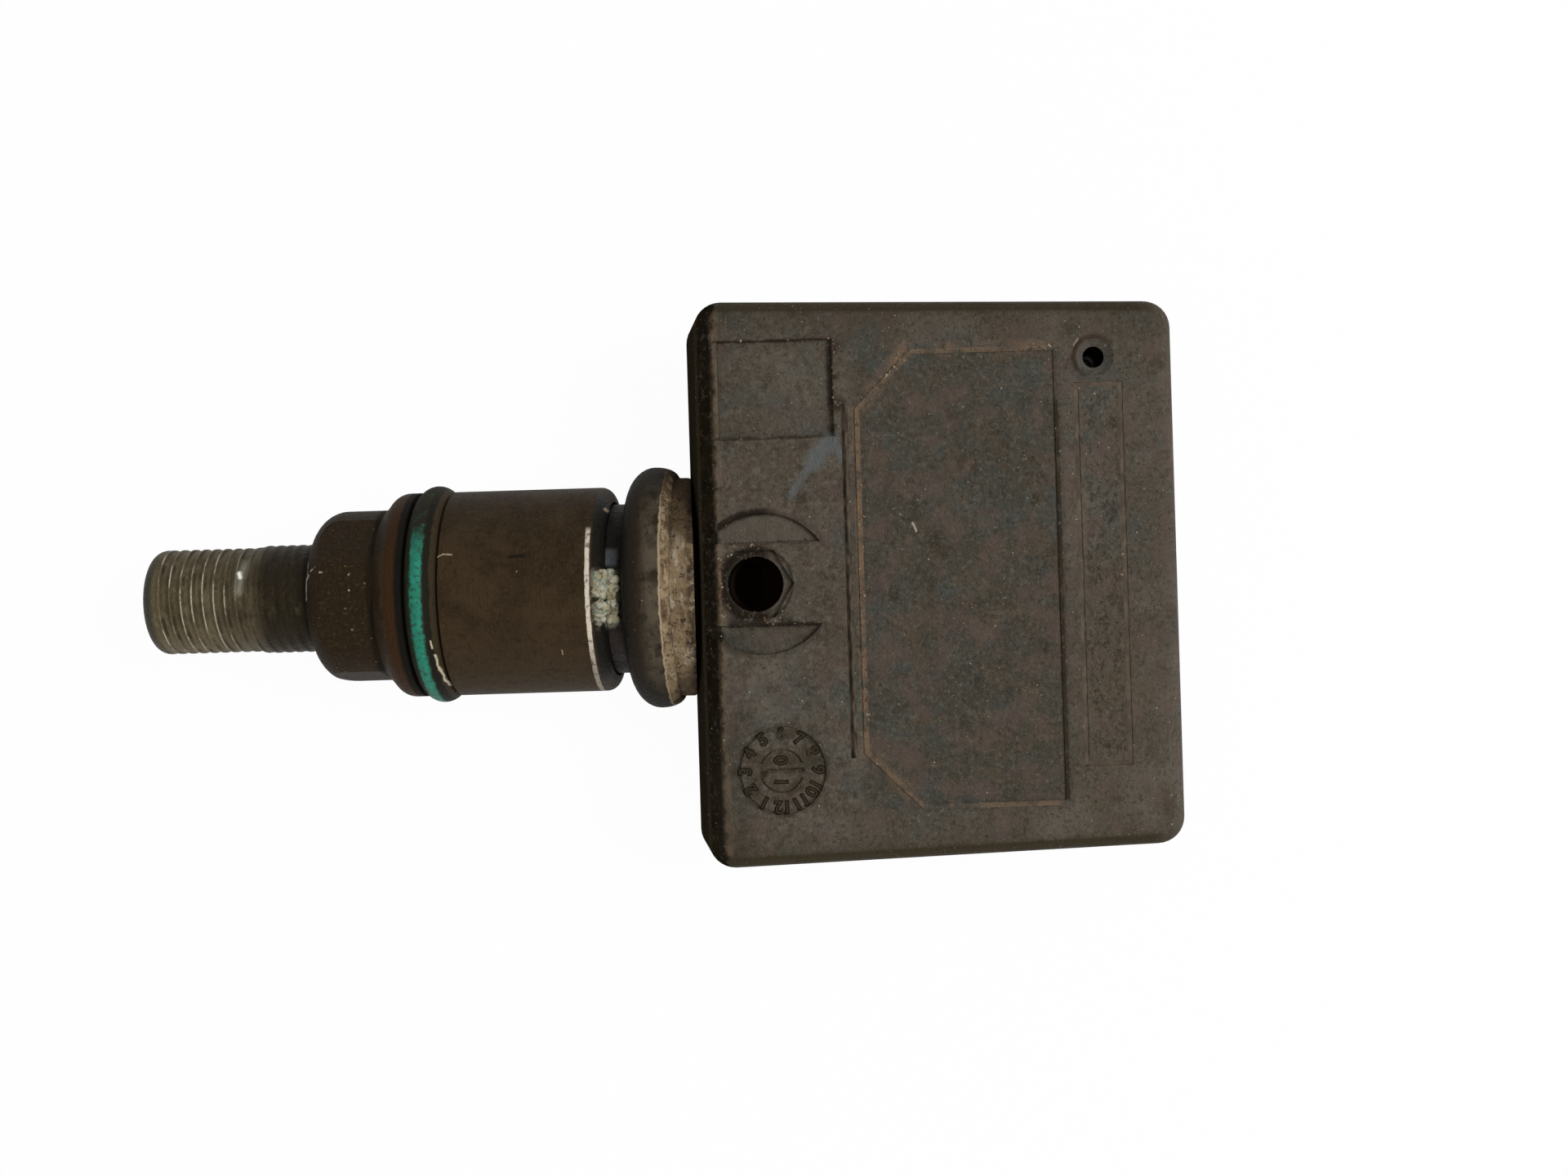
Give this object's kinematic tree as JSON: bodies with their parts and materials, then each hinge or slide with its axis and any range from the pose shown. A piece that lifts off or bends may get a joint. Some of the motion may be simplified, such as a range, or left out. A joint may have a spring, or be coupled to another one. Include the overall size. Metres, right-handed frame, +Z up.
{
  "type": "tyre pressure sensor",
  "caption": "Clamp-in tyre pressure sensor: flat plastic transmitter housing with a threaded valve stem, rubber grommet, sleeve nut and green colour ring.",
  "frame": {"origin": "on the stem's axis, at the plane where the grommet's shoulder meets the inside of the rim", "axes": "-X along the valve stem towards its tip, +X into the housing, +Z up out of the housing's marked face, +Y across the housing"},
  "size_m": [0.0742, 0.0396, 0.0181],
  "materials": {
    "housing_plastic": "dusty moulded dark grey-brown",
    "cover_plastic": "moulded, dull black",
    "potting_compound": "cast, soft grey",
    "board_laminate": "green solder mask",
    "cell_steel": "nickel-plated steel",
    "tab_nickel": "nickel strip",
    "can_metal": "plated metal can",
    "seal_rubber": "black rubber",
    "chip_resin": "black moulding resin",
    "copper_wire": "enamelled copper wire",
    "ferrite": "sintered dark grey",
    "chip_ceramic": "brown ceramic",
    "stem_metal": "grey-olive plated metal, dirty near the nut",
    "washer_metal": "beige-brown, corroded",
    "grommet_rubber": "black rubber, dusty",
    "nut_metal": "dark brown anodised, dirty, worn bright at the open end",
    "ring_rubber": "green rubber, partly covered in dirt",
    "core_brass": "turned brass",
    "core_sealing": "white fluoroplastic",
    "spring_steel": "stainless spring wire"
  },
  "bodies": {
    "sensor_unit": {"housing": "housing_plastic", "base_cover": "cover_plastic", "potting": "potting_compound", "circuit_board": "board_laminate", "battery_cell": "cell_steel", "battery_tab_top": "tab_nickel", "battery_tab_bottom": "tab_nickel", "pressure_sensor": "can_metal", "port_seal": "seal_rubber", "controller_chip": "chip_resin", "crystal": "can_metal", "antenna_loop": "copper_wire", "receiver_core": "ferrite", "receiver_winding": "copper_wire", "chip_parts": "chip_ceramic", "motion_switch": "can_metal", "valve_stem": "stem_metal", "backing_washer": "washer_metal", "rim_grommet": "grommet_rubber", "core_body": "core_brass", "core_seal": "core_sealing", "core_spring": "spring_steel"},
    "ring_carrier": {"colour_ring": "ring_rubber"},
    "nut": {"sleeve_nut": "nut_metal"},
    "core_plunger": {"core_pin": "core_brass", "core_cup": "seal_rubber"}
  },
  "joints": [
    {"name": "nut_travel", "type": "slide", "parent": "sensor_unit", "child": "ring_carrier", "axis": [-1, 0, 0], "range_m": [0, 0.01191]},
    {"name": "nut_turn", "type": "hinge", "parent": "ring_carrier", "child": "nut", "pos_m": [-0.01395, 0, 0], "axis": [-1, 0, 0], "range_deg": [0, 5400]},
    {"name": "core_press", "type": "slide", "parent": "sensor_unit", "child": "core_plunger", "axis": [1, 0, 0], "range_m": [0, 0.0012], "stiffness_N_per_m": 800, "deforming": ["core_spring"]}
  ],
  "couplings": [
    {"joint": "nut_travel", "follows": "nut_turn", "m_per_rad": 0.00012633}
  ]
}
